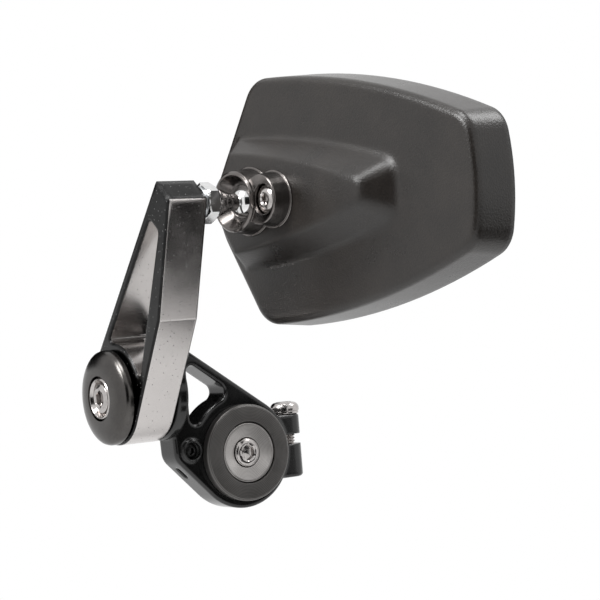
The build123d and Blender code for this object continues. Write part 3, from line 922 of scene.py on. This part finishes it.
@dataclass
class FoldingArm(Assembly):
    """Windowed arm with the ball stud at its tip, whose heights run from the stud's seat."""

    stud_seat: Place = Place((45.4916, -32.0, 85.6893), BACK, OUT)
    washer: float = 1.4
    washer_radius: float = 5.6
    washer_bore: float = 3.25
    washer_gap_deg: float = 8.0
    washer_start_deg: float = 60.0
    washer_lift: float = 0.25
    washer_ease: float = 0.2
    washer_rows: int = 120
    thread_end: float = -10.95
    thread_edge: float = 0.5
    flats: float = 12.0
    flats_edge: float = 0.1
    flats_slope: float = 1.7
    flats_rows: int = 25
    hexagon_end: float = 5.8
    neck: float = 2.9
    neck_root: float = 5.0
    neck_fall: float = 8.3
    neck_rows: int = 30
    ball: float = 6.5
    ball_reach: float = 20.7
    ball_rows: int = 60
    pole_gap: float = 0.02
    around: int = 144

    def stud(self) -> Array:
        """Ball stud from its thread's end to the pole of its ball.

        The hexagon's radius is the lesser of the hexagon's own and a cone at each end, which
        draws the curved edges of a chamfered nut. The neck falls from its root as half a cosine,
        and the ball is a circle's arc.

        Returns:
            A grid of points, row by angle.
        """
        angle = angles(self.around)
        thread = np.array([
            [self.thread_end, M6 - self.thread_edge], [self.thread_end + self.thread_edge, M6],
            [self.washer, M6],
        ])
        height = np.linspace(self.washer, self.hexagon_end, self.flats_rows)
        inside = np.minimum(height - self.washer, self.hexagon_end - height)
        cone = self.flats / 2.0 - self.flats_edge + self.flats_slope * inside
        nut = np.minimum(hexagon(angle, self.flats), cone[:, None])
        meet = math.asin(self.neck / self.ball)
        neck_end = self.ball_reach - self.ball * math.cos(meet)
        neck_height = np.linspace(self.hexagon_end, neck_end, self.neck_rows)
        fall = np.clip((neck_height - self.hexagon_end) / self.neck_fall, 0.0, 1.0)
        neck = self.neck + (self.neck_root - self.neck) * 0.5 * (1.0 + np.cos(math.pi * fall))
        swing = np.linspace(meet, math.pi - self.pole_gap, self.ball_rows)[1:]
        ball_height = self.ball_reach - self.ball * np.cos(swing)
        rows = np.concatenate((thread[:, 0], height, neck_height, ball_height))
        plain = np.concatenate((neck, self.ball * np.sin(swing)))
        radius = np.concatenate((
            np.repeat(thread[:, 1:], self.around, axis=1), nut,
            np.repeat(plain[:, None], self.around, axis=1),
        ))
        return self.stud_seat.lift(rows[:, None], radius, angle)

    def lock_washer(self) -> Array:
        """Split spring washer: a square section carried along one turn of a very flat helix.

        The section's middle lies at lift (angle / turn - 1/2) along the axis; the turn stops short
        by the gap.

        Returns:
            A grid of points, station by corner of the section.
        """
        turn, start = math.radians(360.0 - self.washer_gap_deg), math.radians(self.washer_start_deg)
        angle = np.linspace(0.0, turn, self.washer_rows)[:, None] + start
        rise = np.linspace(-0.5, 0.5, self.washer_rows)[:, None] * self.washer_lift
        half = (self.washer - self.washer_lift) / 2.0
        bore, rim, ease = self.washer_bore, self.washer_radius, self.washer_ease
        section = rounded([(-half, bore), (-half, rim), (half, rim), (half, bore)], ease)
        height = self.washer / 2.0 + rise + section[None, :, 0]
        return self.stud_seat.lift(height, section[None, :, 1], angle)

    def build(self) -> None:
        """Build and dress the arm's pieces."""
        self.put("ball_stud", self.stud(), False, Body.ARM, "bright_chrome", CHROME)
        self.put("stud_lock_washer", self.lock_washer(), False, Body.ARM, "zinc_steel", ZINC)
        self.palette.dress({"arm": CUT_PLATE})


@dataclass
class MirrorHead(Assembly):
    """Housing with its glass, and the ball clamp with its screw."""

    ball_mm: Triple = (45.4916, -11.3, 85.6893)
    yaw_deg: float = 7.0
    roll_deg: float = -2.0
    plateau: float = -0.45
    screw_offset: float = 14.2
    clamp_floor: float = 3.3
    screw_reach: float = 11.25

    def clamp_screw(self) -> SocketScrew:
        """Screw that draws the clamp on to the housing, square to the head's back.

        Returns:
            The screw on the floor of the clamp's bore.
        """
        yaw, roll = math.radians(self.yaw_deg), math.radians(self.roll_deg)
        level = math.cos(roll)
        along = np.array([math.cos(yaw) * level, math.sin(yaw) * level, math.sin(roll)])
        out = np.array([math.sin(yaw), -math.cos(yaw), 0.0])
        height = self.plateau + self.clamp_floor
        seat = np.array(self.ball_mm) + along * self.screw_offset + out * height
        place = Place(tuple(seat.tolist()), tuple(out.tolist()), tuple(along.tolist()))
        return SocketScrew(
            place, M5, self.screw_reach, head=4.75, height=2.75, crown=0.6, key=3.0, fall=1.0,
            key_depth=2.0, pitch=0.8,
        )

    def build(self) -> None:
        """Build and dress the head's pieces."""
        screw = self.clamp_screw().points()
        self.put("clamp_screw", screw, False, Body.HEAD, "bright_chrome", STAINLESS)
        self.palette.dress({
            "mirror_housing": MOULDED_PLASTIC, "ball_clamp": BLACK_GLOSS,
            "mirror_glass": SILVERED_GLASS, "glass_pad": FOAM, "clamp_insert": BRASS,
            "ball_seat": ACETAL, "seat_pad": RUBBER,
        })


@dataclass(frozen=True)
class Screen:
    """Curved dark sheet round the object that glows faintly and is seen by reflections alone: it
    paints dark reflections into bright metal.

    Angles are measured from the front (-Y) towards +X.
    """

    name: str
    middle_mm: tuple[float, float]
    radius_mm: float
    from_deg: float
    to_deg: float
    low_mm: float
    high_mm: float
    tone: str
    fade_mm: float = 22.0
    rows: int = 25
    columns: int = 65

    def points(self) -> Array:
        """Grid of a cylinder's part: the angle runs along it and the height up it.

        Returns:
            Points in metres, row by column.
        """
        angle = np.radians(np.linspace(self.from_deg, self.to_deg, self.columns))[None, :]
        height = np.linspace(self.low_mm, self.high_mm, self.rows)[:, None]
        x, y, z = np.broadcast_arrays(
            self.middle_mm[0] + self.radius_mm * np.sin(angle),
            self.middle_mm[1] - self.radius_mm * np.cos(angle), height,
        )
        return np.stack((x, y, z), axis=-1) * MM

    def cover(self) -> Array:
        """Share of painted reflection at each point: one inside, falling to zero over the fade at
        every edge.

        Along each way the share is 3s^2 - 2s^3, where s is the distance from the nearer edge over
        the fade, at most 1. The two ways are multiplied.

        Returns:
            The share by row and column.
        """
        width = math.radians(self.to_deg - self.from_deg) * self.radius_mm
        shares = []
        for length, count in ((self.high_mm - self.low_mm, self.rows), (width, self.columns)):
            along = np.linspace(0.0, length, count)
            s = np.clip(np.minimum(along, length - along) / self.fade_mm, 0.0, 1.0)
            shares.append(3.0 * s**2 - 2.0 * s**3)
        return shares[0][:, None] * shares[1][None, :]

    def build(self) -> None:
        """Hang the glowing sheet of painted dark reflection, hidden from the camera and from the
        light.
        """
        index = np.arange(self.rows * self.columns).reshape(self.rows, self.columns)
        quads = np.stack(
            (index[:-1, :-1], index[:-1, 1:], index[1:, 1:], index[1:, :-1]), axis=-1
        ).reshape(-1, 4)
        mesh = bpy.data.meshes.new(self.name)
        mesh.from_pydata(self.points().reshape(-1, 3).tolist(), [], quads.tolist())
        cover = mesh.attributes.new("cover", "FLOAT", "POINT")
        cover.data.foreach_set("value", self.cover().ravel())
        painted_reflection_glow = bpy.data.materials.new(f"{self.name}_cloth")
        tree = blank(painted_reflection_glow)
        share = add_node(tree, "Attribute", {}, attribute_name="cover", out="Fac")
        clear = add_node(tree, "BsdfTransparent", {})
        # Faint dark emission, seen only in reflections: a painted dark reflection, not a lamp and
        # not a real cloth.
        tone = {"Color": linear(self.tone), "Strength": 1.0}
        glow = add_node(tree, "Emission", tone)
        mix = add_node(tree, "MixShader", {0: share, 1: clear, 2: glow})
        add_node(tree, "OutputMaterial", {"Surface": mix})
        mesh.materials.append(painted_reflection_glow)
        screen = add_object(self.name, mesh)
        screen.visible_camera = screen.visible_diffuse = screen.visible_shadow = False


@dataclass(frozen=True)
class Lamp:
    """A soft rectangular lamp, in metres and watts.

    Its long side lies level, or across the bar where it hangs more steeply than `steep`.
    """

    name: str
    place: Triple
    size: tuple[float, float]
    watts: float
    steep: float = 0.85

    def build(self, target: Triple) -> None:
        """Hang the lamp, hidden from the camera.

        Args:
            target: Point in metres that the lamp faces.
        """
        data = bpy.data.lights.new(self.name, "AREA")
        data.shape = "RECTANGLE"
        data.size, data.size_y, data.energy = *self.size, self.watts
        lamp = add_object(self.name, data)
        back = np.array(self.place) - np.array(target)
        back /= np.linalg.norm(back)
        right = np.cross(BACK if back[2] > self.steep else UP, back)
        right /= np.linalg.norm(right)
        matrix = np.eye(4)
        matrix[:3, 0], matrix[:3, 1], matrix[:3, 2] = right, np.cross(back, right), back
        matrix[:3, 3] = self.place
        lamp.matrix_world = Matrix(matrix.tolist())
        lamp.visible_camera = False


@dataclass
class Studio:
    """Pale floor, soft lamps, white surround, dark glowing screens that paint reflections, and the
    camera at the photo's angle.
    """

    azimuth_deg: float = 55.7
    elevation_deg: float = -0.7
    roll_deg: float = -4.6
    camera_mm: Triple = (550.2, -338.4, 44.2)
    focal_px: float = 1800.0
    frame_px: float = 600.0
    sensor_mm: float = 36.0
    clip: tuple[float, float] = (0.01, 50.0)
    floor_mm: float = -100.0
    floor_half: float = 6.0
    floor_fade: tuple[float, float] = (0.1, 0.3)
    paper: str = "#f4f4f4"
    middle: Triple = (0.06, 0.0, 0.06)
    sky: float = 0.25
    # Dark glowing sheets seen only in reflections: painted dark reflections in the metal, not
    # lamps.
    painted_reflection_sheets: tuple[Screen, ...] = (
        Screen("front_screen", (60.0, 0.0), 500.0, 26.0, 78.0, -100.0, 330.0, "#1c1c1c"),
        Screen("side_screen", (40.0, -40.0), 272.0, 94.0, 141.0, -95.0, 42.0, "#141414"),
        Screen("floor_screen", (40.0, -40.0), 270.0, 94.0, 155.0, -122.0, -38.0, "#0a0a0a"),
        Screen("low_screen", (15.0, 0.0), 90.0, 82.0, 133.0, -76.0, -32.0, "#1c1c1c", 10.0),
        Screen("left_screen", (0.0, -50.0), 500.0, -127.0, -60.0, 80.0, 490.0, "#181818"),
    )
    lamps: tuple[Lamp, ...] = (
        Lamp("top_lamp", (0.2, -0.15, 0.72), (0.3, 0.3), 3.2),
        Lamp("key_lamp", (0.07, -0.46, 0.46), (0.26, 0.22), 3.2),
        Lamp("rear_lamp", (0.22, 0.4, 0.58), (0.28, 0.3), 1.6),
    )

    def camera(self) -> None:
        """Stand the camera where the photograph was taken from."""
        degrees = (self.azimuth_deg, self.elevation_deg, self.roll_deg)
        turn, rise, roll = (math.radians(value) for value in degrees)
        level = math.cos(rise)
        right = np.array([math.cos(turn), math.sin(turn), 0.0])
        back = np.array([math.sin(turn) * level, -math.cos(turn) * level, math.sin(rise)])
        up = np.cross(back, right)
        matrix = np.eye(4)
        matrix[:3, 0] = right * math.cos(roll) + up * math.sin(roll)
        matrix[:3, 1] = up * math.cos(roll) - right * math.sin(roll)
        matrix[:3, 2] = back
        matrix[:3, 3] = np.array(self.camera_mm) * MM
        data = bpy.data.cameras.new("camera")
        data.sensor_width = self.sensor_mm
        data.lens = self.sensor_mm * self.focal_px / self.frame_px
        data.clip_start, data.clip_end = self.clip
        camera = add_object("camera", data)
        camera.matrix_world = Matrix(matrix.tolist())
        bpy.context.scene.camera = camera

    def seen_directly(self, tree: Tree) -> Socket:
        """One for rays from the camera and from mirror or glass, zero for lighting rays.

        Args:
            tree: Tree that takes the nodes.

        Returns:
            The switch between what is seen and what lights.
        """
        glossy, clear, direct = (
            add_node(tree, "LightPath", {}, out=f"Is {ray} Ray")
            for ray in ("Glossy", "Transmission", "Camera")
        )
        mirrored = add_node(tree, "Math", {0: glossy, 1: clear}, operation="MAXIMUM")
        return add_node(tree, "Math", {0: direct, 1: mirrored}, operation="MAXIMUM")

    def surround(self) -> None:
        """White surround for what is seen, a softer grey for what it lights."""
        world = bpy.data.worlds.new("surround")
        bpy.context.scene.world = world
        tree = blank(world)
        lit, seen = (
            add_node(tree, "Background", {"Color": linear(WHITE), "Strength": strength})
            for strength in (self.sky, 1.0)
        )
        mix = add_node(tree, "MixShader", {0: self.seen_directly(tree), 1: lit, 2: seen})
        add_node(tree, "OutputWorld", {"Surface": mix})

    def floor(self) -> None:
        """Pale floor that fades into the white surround away from the object."""
        reach, level = self.floor_half, self.floor_mm * MM
        mesh = bpy.data.meshes.new("floor")
        signs = ((-1, -1), (1, -1), (1, 1), (-1, 1))
        mesh.from_pydata([(x * reach, y * reach, level) for x, y in signs], [], [(0, 1, 2, 3)])
        floor = add_object("floor", mesh)
        material = bpy.data.materials.new("pale_paper")
        tree = blank(material)
        where = add_node(tree, "TexCoord", {}, out="Object")
        below = (self.middle[0], self.middle[1], level)
        away = add_node(
            tree, "VectorMath", {0: where, 1: below}, operation="DISTANCE", out="Value"
        )
        far = add_node(
            tree, "MapRange",
            {"Value": away, "From Min": self.floor_fade[0], "From Max": self.floor_fade[1]},
            interpolation_type="SMOOTHSTEP",
        )
        share = add_node(tree, "Math", {0: far, 1: self.seen_directly(tree)}, operation="MULTIPLY")
        paper = add_node(tree, "BsdfDiffuse", {"Color": linear(self.paper)})
        glow = {"Color": linear(WHITE), "Strength": 1.0}
        white = add_node(tree, "Emission", glow)
        mix = add_node(tree, "MixShader", {0: share, 1: paper, 2: white})
        add_node(tree, "OutputMaterial", {"Surface": mix})
        mesh.materials.append(material)

    def build(self) -> None:
        """Set up the whole studio."""
        bpy.context.scene.view_settings.view_transform = "Standard"
        self.camera()
        self.surround()
        self.floor()
        for screen in self.painted_reflection_sheets:
            screen.build()
        for lamp in self.lamps:
            lamp.build(self.middle)


def main() -> None:
    """Build the mirror's sub-assemblies in order, then the studio."""
    logging.basicConfig(level=logging.INFO, format="%(name)s: %(message)s")
    palette = Palette()
    for assembly in (BarEnd(palette), Bracket(palette), FoldingArm(palette), MirrorHead(palette)):
        assembly.build()
    Studio().build()


if __name__ == "__main__":
    main()
